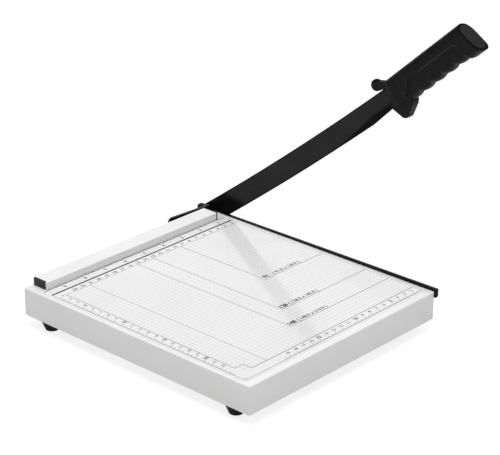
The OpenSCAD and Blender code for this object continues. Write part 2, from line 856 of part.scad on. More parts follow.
// The whole moulding before it is split
module handle_solid() {
    full_h = grip_top + grip_butt;
    reach = grip_end + 3 * handle_front;
    difference() {
        intersection() {
            linear_extrude(handle_t) grip_side();
            translate([-handle_front, grip_mid, handle_t / 2]) rotate([90, 0, 90]) linear_extrude(reach)
                round_rect(full_h, handle_t, handle_r);
        }
        at_end_face() translate([0, -full_h, -handle_t]) cube([full_h, 2 * full_h, 2 * handle_t]);
        at_end_face() translate([-end_cap_seat, 0, 0])
            end_oval(end_cap_len + 2 * seat_gap, end_cap_w + 2 * seat_gap, end_cap_seat + over);
    }
    translate([0, 0, (handle_t - guard_t) / 2]) linear_extrude(guard_t) guard_side();
    translate([0, 0, (handle_t - horn_t) / 2]) linear_extrude(horn_t) horn_side();
}

// One half of the moulding, between z0 and the parting plane's other side
module handle_half(z0) {
    half_t = handle_t / 2;
    pocket_t = blade_t + 2 * seat_gap;
    pocket_z = half_t - pocket_t / 2;
    color(black_plastic) on_arm(blade_mid + half_t) on_handle() difference() {
        intersection() {
            handle_solid();
            translate([-handle_u / 2, -handle_u / 2, z0]) cube([handle_u, handle_u, half_t]);
        }
        translate([-tang_root, -tang_w / 2 - seat_gap, pocket_z])
            cube([tang_end + tang_root + seat_gap, tang_w + 2 * seat_gap, pocket_t]);
        translate([-tang_root - handle_front, -blade_w / 2, pocket_z])
            cube([tang_root + handle_front, blade_w, pocket_t]);
        for (p = handle_screws_p) {
            translate([p, 0, 0]) sunk_hole(screw_d, screw_head_d, handle_screw_len + over, seat_gap);
        }
    }
}

module handle_left_half() {
    handle_half(handle_t / 2);
}

module handle_right_half() {
    handle_half(0);
}

module handle_end_cap() {
    color("#2b2b2d") on_arm(blade_mid + handle_t / 2) on_handle() at_end_face()
        translate([-end_cap_seat, 0, 0]) end_oval(end_cap_len, end_cap_w, end_cap_t);
}

module handle_screws() {
    color(zinc) on_arm(blade_mid + handle_t / 2) on_handle() for (p = handle_screws_p) {
        translate([p, 0, 0]) sunk_screw(screw_d, screw_head_d, handle_screw_len);
    }
}

base_tray();
table_stiffener();
backing_bar();
scale_sheet();
fence_rail();
fence_cap_left();
fence_cap_right();
fence_screws();
fence_nuts();
fixed_blade();
fixed_blade_screws();
hinge_bracket();
bracket_screws();
bracket_nuts();
pivot_bolt();
pivot_spacer();
pivot_washers();
pivot_spring();
pivot_nut();
foot_front_left();
foot_front_right();
foot_rear_left();
foot_rear_right();
foot_washers();
foot_screws();
foot_nuts();
blade_arm();
handle_left_half();
handle_right_half();
handle_end_cap();
handle_screws();
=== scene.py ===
"""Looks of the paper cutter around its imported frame, in Blender 4.5."""

import json
import math

import bmesh
import bpy
from mathutils import Matrix, Vector


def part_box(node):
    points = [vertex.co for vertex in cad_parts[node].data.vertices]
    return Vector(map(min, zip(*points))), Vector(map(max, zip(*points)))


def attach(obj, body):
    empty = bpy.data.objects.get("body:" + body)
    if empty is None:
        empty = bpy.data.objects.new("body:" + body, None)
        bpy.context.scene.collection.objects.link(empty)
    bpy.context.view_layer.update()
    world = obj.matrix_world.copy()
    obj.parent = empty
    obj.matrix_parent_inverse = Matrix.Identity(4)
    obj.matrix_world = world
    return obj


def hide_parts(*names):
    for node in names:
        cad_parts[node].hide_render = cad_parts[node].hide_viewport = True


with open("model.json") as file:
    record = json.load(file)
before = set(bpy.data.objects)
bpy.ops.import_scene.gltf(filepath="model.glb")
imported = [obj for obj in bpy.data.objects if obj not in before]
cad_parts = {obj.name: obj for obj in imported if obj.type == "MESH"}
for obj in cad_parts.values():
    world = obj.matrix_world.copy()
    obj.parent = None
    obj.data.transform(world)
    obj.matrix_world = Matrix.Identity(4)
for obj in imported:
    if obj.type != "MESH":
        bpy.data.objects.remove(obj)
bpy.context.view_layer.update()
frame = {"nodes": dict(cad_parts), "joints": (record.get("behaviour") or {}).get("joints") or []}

# Lengths are in millimetres and angles in degrees, as in the part's source, unless a comment says otherwise
MM = 0.001


def in_mm(point):
    """A point of the frame in millimetres, as plain numbers without rounding noise."""
    return [round(value / MM, 3) for value in point]


# Camera, fitted to the photograph. Its place is in metres
CAMERA_PLACE = (-1.1112, -1.0439, 0.7599)
CAMERA_AZIMUTH = 47.5044
CAMERA_ELEVATION = 23.3722
CAMERA_ROLL = 0.2297
SENSOR_W = 36.0
LENS = 132.66

# Folded base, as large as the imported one. BAR_SIDE_BEND is the share of the bend that is left on the side
# where the fixed blade is screwed on
BASE_LOW, BASE_HIGH = (in_mm(corner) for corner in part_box("base_tray"))
BASE_W = BASE_HIGH[0] - BASE_LOW[0]
BASE_D = BASE_HIGH[1] - BASE_LOW[1]
FOOT_H = BASE_LOW[2]
TABLE_Z = BASE_HIGH[2]
SHEET_T = 1.0
BEND_R = 1.1
CORNER_R = 1.5
BAR_SIDE_BEND = 0.3
SIDE_FLANGE = 25.0
END_FLANGE = 12.0

# Printed sheet. The rulers' zero lines lie where the photograph's figures put them: 2.5 outside the fixed
# blade's outer face, and 1.1 in front of the fence
SHEET_TOP = in_mm(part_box("scale_sheet")[1])[2]
RULE_X = 129.8
RULE_Y = 118.7
INK_T = 0.02
BAND_OUTER_X = -118.9
BAND_INNER_X = -109.1
BAND_OUTER_Y = -130.2
BAND_INNER_Y = -119.3
BORDER_X = 119.3
BORDER_R = 5.0
CORNER_STEPS = 6
CORNER_LINE_HALF = 0.1
BOLD_Y = 108.8
REAR_RULE_Y = 100.6
CORNER_BOX = 10.0
FENCE_LINE_LEAD = 0.5
INCH = 25.4
FIGURE_SHARE = 0.7

# Widths of the printed lines
BOLD_W = 1.9
LEFT_BORDER_W = 0.4
FRONT_BORDER_W = 0.45
RIGHT_BORDER_W = 0.3
INNER_BORDER_W = 0.6
INNER_FRONT_W = 0.7
REAR_RULE_W = 0.2
FRAME_SIDE_W = 0.5
FRAME_END_W = 0.6
LONG_SHEET_W = 0.45
# The line at the fence's foot is a ruler baseline and also painted contact shadow under the fence
FENCE_SHADOW_LINE_W = 0.5
INCH_TICK_W = 0.3
REAR_TICK_W = 0.18
TICK_W = 0.22
FIFTH_TICK_W = 0.4

# Sizes of cut sheets whose frames are printed, and the length of the largest, which has a line of its own
CUT_SIZES = ((91, 128), (128, 182), (148, 210))
LONG_SHEET = 210

# Stretches of the rulers that are printed: their ticks, and their figures
SIXTEENTHS = range(8, 158)
INCHES = range(1, 10)
REAR_MM = range(12, 239)
REAR_CM = range(2, 24)
LEFT_MM = range(20, 238)
LEFT_CM = range(2, 23)
FRONT_MM = range(12, 200)
FRONT_CM = range(2, 20)

# Lengths of a ruler's ticks at the whole, the half and the rest
INCH_TICKS = {0: 4.0, 8: 3.0, 4: 2.2, 12: 2.2}
SHORT_INCH_TICK = 1.4
REAR_TICKS = (2.2, 1.6, 1.0)
SIDE_TICKS = (4.0, 2.6, 1.5)

# Printed figures: their height, and how much their strokes are thickened
LABEL_FIGURES = (4.8, 0.26)
SIZE_FIGURES = (4.1, 0.12)
INCH_FIGURES = (4.0, 0.08)
REAR_FIGURES = (3.8, 0.08)
LEFT_FIGURES = (3.0, 0.04)
LEFT_FIFTH_FIGURES = (3.6, 0.14)
FRONT_FIGURES = (3.4, 0.07)
FRONT_FIFTH_FIGURES = (4.0, 0.16)

# Places of the figures, counted from the lines that they belong to
LABEL_AT = (6.0, 3.8)
SIZE_AT = (33.0, 3.6)
INCH_FIGURE_AT = (1.2, 113.9)
REAR_FIGURE_AT = (4.5, 103.4)
LEFT_FIGURE_AT = (6.6, 2.4)
FRONT_FIGURE_AT = (2.3, 6.7)

# Dotted grid on the sheet: a dot every DOT_PITCH along lines that lie GRID_PITCH apart
GRID_PITCH = 5.0
DOT_PITCH = 1.0
GRID_LINE_HALF = 0.17
DOT_HALF = 0.2
CROSSING_HALF = 0.3
GRID_MARGIN = 1.0
GRID_LINE_SHARE = 0.55
GRID_INK = 0.75

# Arm. Its pivot is the joint's place, and lengths along it count from there. The knife's middle line is an
# arc, lowest at CURVE_LOW_U. A painted dark reflection darkens its root and fades out at ROOT_TO, and a band
# of painted shade along its lower edge widens towards the handle between the two lengths given below
BLADE_MID_X, PIVOT_Y, PIVOT_Z = in_mm(frame["joints"][0]["pos_m"])
ARM_OPEN = 38.0
BLADE_W = 21.7
CURVE_R = 4150.0
CURVE_LOW_U = 146.0
CURVE_DROP = 1.6
EDGE_SHADE_W = 8.0
EDGE_SHADE_FROM = 205.0
EDGE_SHADE_TO = 265.0
ROOT_FROM = 44.0
ROOT_TO = 52.0
ROOT_LEAN = 0.9
RIM_FROM = 1.2
RIM_TO = 0.4
RIM_SHARE = 0.9
EDGE_SHADE_FADE = (-1.5, 1.0)

# Handle, in its own frame, which starts at HANDLE_U along the arm and HANDLE_W above it: along p, up q and
# across z. Its section is crowned above RIDGE_Q and has corners of GRIP_R below
HANDLE_U = 301.0
HANDLE_W = 3.1
HANDLE_TILT = 3.75
HANDLE_T = 19.0
HANDLE_FRONT = 4.0
FRONT_BEVEL = ((0.0, 3.4), (3.2, 0.4), (4.2, 0.0))
PARTING_GAP = 0.08
HANDLE_VOXEL = 0.45
HANDLE_SMOOTHING = 5
CROWN_POWER = 2.4
RIDGE_Q = 2.4
GRIP_R = 6.5
GRIP_SIDE_GAP = 0.35
GRIP_TOP = 14.5
GRIP_CREST = 14.8
GRIP_VALLEY = 12.8
GRIP_BUTT = 17.0
GRIP_STEP = 0.8
GRIP_SPARE = 5.0
BUMP_COUNT = 5
BUMP_PITCH = 16.4
BUMP_FIRST = 18.5
BUTT_LEN = 12.5
GRIP_LAST = BUMP_FIRST + BUMP_PITCH * (BUMP_COUNT - 0.5)
GRIP_END = GRIP_LAST + BUTT_LEN
GRIP_MID = (GRIP_TOP - GRIP_BUTT) / 2

# Oval plate in the handle's end. Its profile gives the inset from the rim and the height of each ring
END_ANGLE = 15.6
END_CAP_LEN = 27.5
END_CAP_W = 16.0
END_CAP_SEAT = 1.5
END_PROFILE = ((0.0, 0.0), (0.0, 1.3), (0.15, 1.75), (0.5, 2.02), (1.1, 2.1), (1.8, 2.02), (2.3, 1.92),
               (3.2, 1.92))

# Hand guard below the handle's front, and the horn above it
GUARD_R = 5.8
GUARD_BACK = -1.3
GUARD_DEEP = 25.0
GUARD_LEAD = 10.0
GUARD_LIFT = 3.0
GUARD_REAR = 15.0
GUARD_DROP = 5.8
GUARD_CHAMFER = 0.7
GUARD_T = 10.8
GUARD_RIM = 1.6
GUARD_TIP_RIM = 2.4
HORN_R = 5.7
HORN_T = 7.0
HORN_UP = 16.4
HORN_REACH = 16.3
HORN_RIM = 2.6
NECK_RIM = 1.8
NECK_IN = 3.0
NECK_LOW = 6.0
NECK_HIGH = 1.5
NECK_LEAD = 1.6
NECK_DROP = 0.7
NECK_DEPTH = 1.6

# Panel sunk into each side of the grip, with its corners from the front round the top to the rear. Below
# PANEL_OPEN only its front and rear bound it. A ridge runs along its edge, and a bead along part of it: from
# corner BEAD_FROM to the one before BEAD_TO. The bead is paler than the handle, as a painted highlight on
# the ridge
PANEL = ((14.7, -11.9), (18.4, -5.6), (25.0, 2.4), (57.0, 2.0),
         (84.7, 2.1), (90.2, 0.5), (92.7, -4.9), (92.2, -10.6))
PANEL_DEPTH = 1.0
PANEL_FROM = 10.0
PANEL_TO = 98.0
PANEL_TOP = 8.0
PANEL_OPEN = -8.0
PANEL_STEP = (0.2, 1.2)
PANEL_FADE = (2.0, 6.0)
RIDGE_RISE = 0.3
RIDGE_HALF = 1.1
RIDGE_SOFT = 0.9
BEAD_R = 0.55
BEAD_SINK = 0.2
BEAD_FROM = 2
BEAD_TO = 7
BEAD_END_SHARE = 0.25
BEAD_SWELL = 6.0

# Screws in the handle's right half
SCREW_D = 4.0
SCREW_HEAD_D = 7.0
SCREW_COUNT = 3
SCREW_EASE = 0.1
SCREW_OVER = 1.0
SCREW_DEEP = 5.0
TANG_SHORT = 14.0
LAST_SCREW_INSET = 8.0

# Stage, in metres. The sweep is a white backdrop that only reflections see. It fades in round a direction
# and out above a height
FLOOR_HALF = 6.0
SWEEP_TOWARDS = (0.737, 0.675, 0.0)
SWEEP_EDGE = (0.76, 0.9)
SWEEP_TOP = (0.4, 0.52)
AMBIENT = 0.52
ROOM = 0.08
LAMP_PLACE = (-0.22, -0.22, 1.6)
LAMP_SIZE = 1.4
LAMP_POWER = 20.0


# Camera

def make_camera():
    """The photograph's camera, looking along its azimuth and down by its elevation."""
    azimuth = math.radians(CAMERA_AZIMUTH)
    elevation = math.radians(CAMERA_ELEVATION)
    roll = math.radians(CAMERA_ROLL)
    level = math.cos(elevation)
    forward = Vector((math.sin(azimuth) * level, math.cos(azimuth) * level, -math.sin(elevation)))
    flat_right = Vector((math.cos(azimuth), -math.sin(azimuth), 0.0))
    flat_up = flat_right.cross(forward)
    right = flat_right * math.cos(roll) + flat_up * math.sin(roll)
    up = flat_up * math.cos(roll) - flat_right * math.sin(roll)
    data = bpy.data.cameras.new("camera")
    data.sensor_width = SENSOR_W
    data.lens = LENS
    camera = bpy.data.objects.new("camera", data)
    turn = Matrix((right, up, -forward)).transposed().to_4x4()
    camera.matrix_world = Matrix.Translation(CAMERA_PLACE) @ turn
    bpy.context.collection.objects.link(camera)
    bpy.context.scene.camera = camera


make_camera()


# Materials

class Nodes:
    """A node tree in which each input takes a value or another node's output."""

    def __init__(self, tree):
        self.tree = tree

    def feed(self, socket, value):
        if isinstance(value, bpy.types.NodeSocket):
            self.tree.links.new(value, socket)
        else:
            socket.default_value = value

    def node(self, kind, **values):
        """A node of a kind, with the inputs given by name."""
        made = self.tree.nodes.new(kind)
        for name, value in values.items():
            self.feed(made.inputs[name], value)
        return made

    def math(self, operation, first, second=0.0, third=0.0):
        made = self.tree.nodes.new("ShaderNodeMath")
        made.operation = operation
        for socket, value in zip(made.inputs, (first, second, third)):
            self.feed(socket, value)
        return made.outputs["Value"]

    def spread(self, value, low, high, source_low=0.35, source_high=0.65, kind="LINEAR"):
        """A value drawn out from its source range, by default that of a noise, to low and high."""
        made = self.tree.nodes.new("ShaderNodeMapRange")
        made.interpolation_type = kind
        self.feed(made.inputs["Value"], value)
        made.inputs["From Min"].default_value = source_low
        made.inputs["From Max"].default_value = source_high
        made.inputs["To Min"].default_value = low
        made.inputs["To Max"].default_value = high
        return made.outputs["Result"]

    def mix(self, factor, first, second):
        """A number between two numbers."""
        return self.node("ShaderNodeMix", Factor=factor, A=first, B=second).outputs["Result"]


class Finish(Nodes):
    """A Principled material whose colour, roughness and bump come from noise in object coordinates."""

    def __init__(self, name, roughness, specular):
        self.material = bpy.data.materials.new(name)
        self.material.use_nodes = True
        super().__init__(self.material.node_tree)
        self.shader = self.tree.nodes["Principled BSDF"]
        self.shader.inputs["Specular IOR Level"].default_value = specular
        self.shader.inputs["Roughness"].default_value = roughness
        self.roughness = roughness
        self.place = self.tree.nodes.new("ShaderNodeTexCoord").outputs["Object"]

    def noise(self, size_mm, detail=2.0):
        """Noise whose patches are about size_mm across."""
        made = self.node("ShaderNodeTexNoise", Vector=self.place, Scale=1.0 / (size_mm * MM), Detail=detail)
        return made.outputs["Fac"]

    def blend(self, factor, first, second):
        """A colour between two colours, each a socket or red, green and blue."""
        made = self.tree.nodes.new("ShaderNodeMix")
        made.data_type = "RGBA"
        self.feed(made.inputs["Factor"], factor)
        for name, colour in (("A", first), ("B", second)):
            socket = [item for item in made.inputs if item.name == name and item.type == "RGBA"][0]
            self.feed(socket, colour if isinstance(colour, bpy.types.NodeSocket) else (*colour, 1.0))
        return [item for item in made.outputs if item.type == "RGBA"][0]

    def mottle(self, size_mm, first, second):
        """A colour that wanders between two colours in patches of about size_mm."""
        return self.blend(self.spread(self.noise(size_mm), 0.0, 1.0), first, second)

    def colour(self, value):
        self.feed(self.shader.inputs["Base Color"], value)

    def vary_roughness(self, size_mm, amount):
        low = max(self.roughness - amount, 0.02)
        high = min(self.roughness + amount, 1.0)
        self.feed(self.shader.inputs["Roughness"], self.spread(self.noise(size_mm, 3.0), low, high))

    def bumps(self, layers):
        """Bump from several noises, each given as patch size and depth in millimetres."""
        total = None
        for size_mm, depth_mm in layers:
            part = self.math("MULTIPLY", self.noise(size_mm), depth_mm)
            total = part if total is None else self.math("ADD", total, part)
        made = self.node("ShaderNodeBump", Height=total, Strength=1.0, Distance=MM)
        self.feed(self.shader.inputs["Normal"], made.outputs["Normal"])


def white_paint():
    """Powder-coated steel with a slight orange peel."""
    finish = Finish("white_paint", roughness=0.42, specular=0.45)
    finish.colour(finish.mottle(35.0, (0.79, 0.79, 0.785), (0.82, 0.82, 0.82)))
    finish.vary_roughness(12.0, 0.05)
    finish.bumps(((1.6, 0.012), (0.5, 0.004)))
    return finish.material


def grid_dots(finish):
    """How much of the grid's ink lies at a place: strong where its lines cross, weaker along them."""
    split = finish.node("ShaderNodeSeparateXYZ", Vector=finish.place)
    along_x = finish.math("MULTIPLY", split.outputs["X"], 1.0 / MM)
    along_y = finish.math("MULTIPLY", split.outputs["Y"], 1.0 / MM)

    def both(first, second):
        return finish.math("MULTIPLY", first, second)

    def near_x(pitch, half):
        """1 within half of a line across X that repeats every pitch from the zero line, else 0."""
        shifted = finish.math("SUBTRACT", along_x, RULE_X)
        return finish.math("LESS_THAN", finish.math("PINGPONG", shifted, pitch / 2), half)

    def near_y(pitch, half):
        """The same along Y."""
        shifted = finish.math("SUBTRACT", along_y, RULE_Y)
        return finish.math("LESS_THAN", finish.math("PINGPONG", shifted, pitch / 2), half)

    def between(value, low, high):
        above = finish.math("GREATER_THAN", value, low + GRID_MARGIN)
        return both(above, finish.math("LESS_THAN", value, high - GRID_MARGIN))

    rows = both(near_y(GRID_PITCH, GRID_LINE_HALF), near_x(DOT_PITCH, DOT_HALF))
    files = both(near_x(GRID_PITCH, GRID_LINE_HALF), near_y(DOT_PITCH, DOT_HALF))
    lines = both(finish.math("MAXIMUM", rows, files), GRID_LINE_SHARE)
    crossings = both(near_x(GRID_PITCH, CROSSING_HALF), near_y(GRID_PITCH, CROSSING_HALF))
    inside = both(between(along_x, BAND_INNER_X, BORDER_X), between(along_y, BAND_INNER_Y, REAR_RULE_Y))
    return both(finish.math("MAXIMUM", lines, crossings), inside)


def printed_sheet():
    """Glossy laminated sheet with a fine grid of dots inside its rulers."""
    finish = Finish("printed_sheet", roughness=0.12, specular=0.7)
    paper = finish.mottle(50.0, (0.75, 0.75, 0.75), (0.775, 0.775, 0.775))
    ink_share = finish.math("MULTIPLY", grid_dots(finish), GRID_INK)
    finish.colour(finish.blend(ink_share, paper, (0.14, 0.14, 0.15)))
    finish.vary_roughness(20.0, 0.03)
    finish.bumps(((22.0, 0.03), (1.2, 0.002)))
    return finish.material


def ink(name, grey):
    """Printing ink that wanders a little around a grey."""
    finish = Finish(name, roughness=0.4, specular=0.15)
    lighter = grey * 1.35
    finish.colour(finish.mottle(1.5, (grey, grey, grey), (lighter, lighter, lighter)))
    finish.vary_roughness(3.0, 0.04)
    finish.bumps(((0.4, 0.002),))
    return finish.material


def satin(finish):
    """The slight waviness and fine grain of satin paint."""
    finish.vary_roughness(14.0, 0.05)
    finish.bumps(((1.8, 0.006), (0.35, 0.003)))
    return finish.material


def black_paint():
    """Satin black paint on steel."""
    finish = Finish("black_paint", roughness=0.26, specular=0.14)
    finish.colour(finish.mottle(25.0, (0.003, 0.003, 0.0032), (0.0045, 0.0045, 0.0048)))
    return satin(finish)


def blade_painted_shade(finish):
    """1 where shade is painted on the knife: at its root, along its rims and along its lower edge ahead of
    the handle, else 0.
    """
    split = finish.node("ShaderNodeSeparateXYZ", Vector=finish.place)
    arm = math.radians(ARM_OPEN)
    past_y = finish.math("MULTIPLY_ADD", split.outputs["Y"], -1.0 / MM, PIVOT_Y)
    past_z = finish.math("MULTIPLY_ADD", split.outputs["Z"], 1.0 / MM, -PIVOT_Z)
    lifted = finish.math("MULTIPLY", past_z, math.sin(arm))
    along = finish.math("MULTIPLY_ADD", past_y, math.cos(arm), lifted)
    above = finish.math("SUBTRACT", finish.math("MULTIPLY", past_z, math.cos(arm)),
                        finish.math("MULTIPLY", past_y, math.sin(arm)))
    # Height above the middle line of the knife, which is curved
    off_low = finish.math("SUBTRACT", along, CURVE_LOW_U)
    squared = finish.math("MULTIPLY", off_low, off_low)
    middle = finish.math("MULTIPLY_ADD", squared, 0.5 / CURVE_R, -CURVE_DROP)
    off_middle = finish.math("SUBTRACT", above, middle)
    root = finish.spread(finish.math("MULTIPLY_ADD", above, ROOT_LEAN, along), 1.0, 0.0, ROOT_FROM, ROOT_TO)
    rims = finish.spread(finish.math("ABSOLUTE", off_middle), 0.0, RIM_SHARE,
                         BLADE_W / 2 - RIM_FROM, BLADE_W / 2 - RIM_TO)
    edge_shade_w = finish.spread(along, 1.0, EDGE_SHADE_W, EDGE_SHADE_FROM, EDGE_SHADE_TO)
    from_edge = finish.math("ADD", off_middle, BLADE_W / 2)
    edge_shade = finish.spread(finish.math("SUBTRACT", from_edge, edge_shade_w), 1.0, 0.0, *EDGE_SHADE_FADE)
    return finish.math("MAXIMUM", finish.math("MAXIMUM", root, rims), edge_shade)


def blade_paint():
    """Satin black paint on the knife, with painted shade darkening its root, its rims and its lower edge
    ahead of the handle.
    """
    finish = Finish("blade_paint", roughness=0.4, specular=0.05)
    plain = finish.mottle(25.0, (0.022, 0.022, 0.023), (0.025, 0.025, 0.026))
    # Painted shade: near-black mixed into the paint at the knife's root, rims and lower edge
    finish.colour(finish.blend(blade_painted_shade(finish), plain, (0.003, 0.003, 0.003)))
    return satin(finish)


def zinc():
    """Zinc-plated steel with a fine drawn grain."""
    finish = Finish("zinc", roughness=0.32, specular=0.5)
    finish.shader.inputs["Metallic"].default_value = 1.0
    finish.colour(finish.mottle(2.5, (0.5, 0.51, 0.53), (0.62, 0.63, 0.65)))
    finish.vary_roughness(1.5, 0.08)
    finish.bumps(((0.3, 0.004), (1.2, 0.006)))
    return finish.material


def moulded(name, dark, light, roughness, specular, grain_mm, grain_depth):
    """Moulded plastic or rubber with a spark-eroded grain."""
    finish = Finish(name, roughness, specular)
    finish.colour(finish.mottle(8.0, dark, light))
    finish.vary_roughness(5.0, 0.05)
    finish.bumps(((grain_mm, grain_depth), (grain_mm * 0.4, grain_depth * 0.4)))
    return finish.material


WHITE_PAINT = white_paint()
PRINTED_SHEET = printed_sheet()
INK = ink("ink", 0.02)
FINE_INK = ink("fine_ink", 0.1)
BLACK_PAINT = black_paint()
BLADE_PAINT = blade_paint()
ZINC = zinc()
CAP_PLASTIC = moulded("cap_plastic", (0.011, 0.011, 0.012), (0.014, 0.014, 0.015),
                      roughness=0.45, specular=0.3, grain_mm=0.4, grain_depth=0.008)
# Paler than the handle plastic: a painted highlight along the grip panel's ridge
BEAD_PAINTED_HIGHLIGHT = moulded("bead_painted_highlight", (0.026, 0.026, 0.0265), (0.032, 0.032, 0.0325),
                       roughness=0.4, specular=0.25, grain_mm=0.5, grain_depth=0.004)
HANDLE_PLASTIC = moulded("handle_plastic", (0.0042, 0.0042, 0.0044), (0.0056, 0.0056, 0.0058),
                         roughness=0.5, specular=0.14, grain_mm=0.35, grain_depth=0.01)
END_PLASTIC = moulded("end_cap_plastic", (0.02, 0.02, 0.021), (0.024, 0.024, 0.025),
                      roughness=0.42, specular=0.2, grain_mm=0.35, grain_depth=0.01)
RUBBER = moulded("foot_rubber", (0.005, 0.005, 0.005), (0.007, 0.007, 0.007),
                 roughness=0.6, specular=0.1, grain_mm=0.5, grain_depth=0.02)


# Meshes

def add_piece(name, mesh, material, body, smooth_angle=40.0):
    """A shown piece that rides on a body and takes its finish from a material slot."""
    mesh.materials.clear()
    mesh.materials.append(material)
    piece = bpy.data.objects.new(name, mesh)
    bpy.context.collection.objects.link(piece)
    for face in mesh.polygons:
        face.use_smooth = True
    mesh.set_sharp_from_angle(angle=math.radians(smooth_angle))
    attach(piece, body)
    return piece


def mesh_from(bm, name, matrix=None, scale=MM):
    """A mesh from a bmesh drawn in millimetres, moved by a matrix in millimetres."""
    if matrix is not None:
        bmesh.ops.transform(bm, matrix=matrix, verts=bm.verts)
    bmesh.ops.scale(bm, vec=(scale, scale, scale), verts=bm.verts)
    bmesh.ops.recalc_face_normals(bm, faces=bm.faces)
    mesh = bpy.data.meshes.new(name)
    bm.to_mesh(mesh)
    bm.free()
    return mesh


def add_rings(bm, rings):
    return [[bm.verts.new(point) for point in ring] for ring in rings]


def bridge(bm, rings):
    """Quads between rings of the same length."""
    for low, high in zip(rings, rings[1:]):
        count = len(low)
        for index in range(count):
            after = (index + 1) % count
            bm.faces.new((low[index], low[after], high[after], high[index]))


def add_solid(bm, rings):
    """A closed solid through rings of the same length. Gives the faces at its two ends."""
    made = add_rings(bm, rings)
    bridge(bm, made)
    return bm.faces.new(reversed(made[0])), bm.faces.new(made[-1])


def cut_away(bm, place, towards):
    """Cuts off all that lies beyond a plane, and gives the edges of the cut."""
    cut = bmesh.ops.bisect_plane(bm, geom=bm.verts[:] + bm.edges[:] + bm.faces[:],
                                 plane_co=place, plane_no=towards, clear_outer=True)
    return [item for item in cut["geom_cut"] if isinstance(item, bmesh.types.BMEdge)]


def applied(piece):
    """The mesh of a piece with its modifiers applied."""
    bpy.context.view_layer.update()
    graph = bpy.context.evaluated_depsgraph_get()
    return bpy.data.meshes.new_from_object(piece.evaluated_get(graph))


def round_ring(half_x, half_y, radius, steps=6):
    """Outline of a rectangle with round corners, as pairs."""
    points = []
    for side_x, side_y, start in ((1, 1, 0), (-1, 1, 90), (-1, -1, 180), (1, -1, 270)):
        for step in range(steps + 1):
            angle = math.radians(start + 90.0 * step / steps)
            points.append((side_x * (half_x - radius) + radius * math.cos(angle),
                           side_y * (half_y - radius) + radius * math.sin(angle)))
    return points


def circle(centre, radius, count=28):
    """Points round a circle, as pairs."""
    angles = [2 * math.pi * index / count for index in range(count)]
    return [(centre[0] + radius * math.cos(angle), centre[1] + radius * math.sin(angle)) for angle in angles]


# Folded base

def base_shell():
    """Folded box with round bends, open below between its flanges."""
    half_x = BASE_W / 2
    half_y = BASE_D / 2

    def opening(z):
        """Ring round the opening between the flanges."""
        points = round_ring(half_x - SIDE_FLANGE, half_y - END_FLANGE, CORNER_R)
        return [(x, y, z) for x, y in points]

    def bend_ring(inset, out, z):
        """Ring of a bend, which takes less off the base's right side than off the others."""
        shift = out * (1.0 - BAR_SIDE_BEND) / 2
        points = round_ring(half_x - inset - out + shift, half_y - inset - out, CORNER_R - inset - out)
        return [(x + shift, y, z) for x, y in points]

    def bend(inset, radius, z, rising, steps=5):
        """Rings round a bend that starts at height z and rises or falls from it to the upright wall."""
        rings = []
        for step in range(steps + 1):
            angle = math.radians(90.0 * step / steps)
            out = radius * (1.0 - math.sin(angle))
            height = z + rising * radius * (1.0 - math.cos(angle))
            rings.append(bend_ring(inset, out, height))
        return rings

    inner_r = BEND_R - SHEET_T
    outside = [opening(FOOT_H)]
    outside += bend(0.0, BEND_R, FOOT_H, 1)
    outside += reversed(bend(0.0, BEND_R, TABLE_Z, -1))
    inside = bend(SHEET_T, inner_r, TABLE_Z - SHEET_T, -1)
    inside += reversed(bend(SHEET_T, inner_r, FOOT_H + SHEET_T, 1))
    inside.append(opening(FOOT_H + SHEET_T))
    bm = bmesh.new()
    outer = add_rings(bm, outside)
    inner = add_rings(bm, inside)
    bridge(bm, outer)
    bridge(bm, inner)
    bridge(bm, [inner[-1], outer[0]])
    bm.faces.new(outer[-1])
    bm.faces.new(inner[0])
    shell = add_piece("base_shell", mesh_from(bm, "base_shell"), WHITE_PAINT, "base", 30.0)
    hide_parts("base_tray")


base_shell()


# Print on the sheet

class Print:
    """Thin raised strokes and figures on the sheet, gathered into one mesh."""

    def __init__(self):
        self.bm = bmesh.new()

    def box(self, x0, y0, x1, y1):
        """A raised rectangle between two corners."""
        corners = ((x0, y0), (x1, y0), (x1, y1), (x0, y1))
        add_solid(self.bm, [[(x, y, z) for x, y in corners] for z in (SHEET_TOP, SHEET_TOP + INK_T)])

    def across(self, x0, x1, y, width):
        self.box(x0, y - width / 2, x1, y + width / 2)

    def along(self, x, y0, y1, width):
        self.box(x - width / 2, y0, x + width / 2, y1)

    def figures(self, text, x, y, size):
        """Plain numbers centred on a point, as thin closed solids. A size is a height and a thickening."""
        height, heavy = size
        curve = bpy.data.curves.new("figures", "FONT")
        curve.body = text
        curve.size = height / FIGURE_SHARE
        curve.align_x = "CENTER"
        curve.align_y = "CENTER"
        curve.extrude = INK_T / 2
        curve.offset = heavy
        curve.resolution_u = 2
        holder = bpy.data.objects.new("figures", curve)
        mesh = holder.to_mesh()
        known = set(self.bm.verts)
        self.bm.from_mesh(mesh)
        fresh = [vert for vert in self.bm.verts if vert not in known]
        holder.to_mesh_clear()
        bpy.data.objects.remove(holder)
        bpy.data.curves.remove(curve)
        move = Matrix.Translation((x, y, SHEET_TOP + INK_T / 2))
        bmesh.ops.transform(self.bm, matrix=move, verts=fresh)

    def finish(self, name, material):
        add_piece(name, mesh_from(self.bm, name), material, "base")


